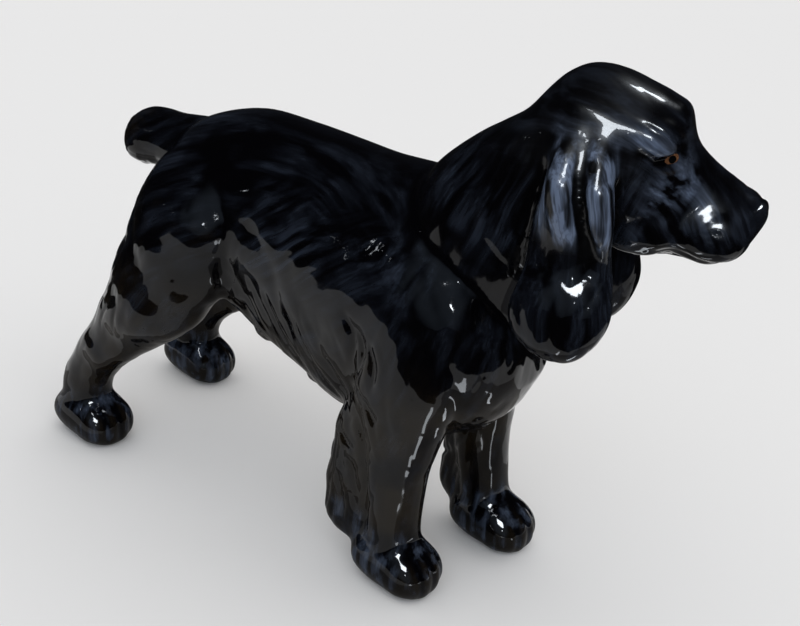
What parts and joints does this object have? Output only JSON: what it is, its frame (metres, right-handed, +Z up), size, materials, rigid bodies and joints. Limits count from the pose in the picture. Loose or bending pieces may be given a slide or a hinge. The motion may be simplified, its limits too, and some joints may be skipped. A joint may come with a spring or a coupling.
{
  "type": "standing spaniel figurine",
  "caption": "Glazed porcelain figurine of a standing long-eared spaniel with a docked tail, slip cast in luted pieces, resting on flat-ground paws.",
  "frame": {"origin": "middle of the footprint box, on the plane that the paws stand on", "axes": "+X towards the nose, +Y towards the dog's left side, +Z up"},
  "size_m": [0.1698, 0.0622, 0.1254],
  "materials": {
    "black_glaze": "gloss black glaze with fine blue-grey hair strokes brushed in",
    "leg_glaze": "gloss black glaze, thinner and a little browner, with dark blue dabs"
  },
  "bodies": {
    "root": {"torso": "black_glaze", "head": "black_glaze", "ear_left": "black_glaze", "ear_right": "black_glaze", "tail": "black_glaze", "foreleg_left": "leg_glaze", "foreleg_right": "leg_glaze", "hindleg_left": "leg_glaze", "hindleg_right": "leg_glaze"}
  },
  "joints": []
}
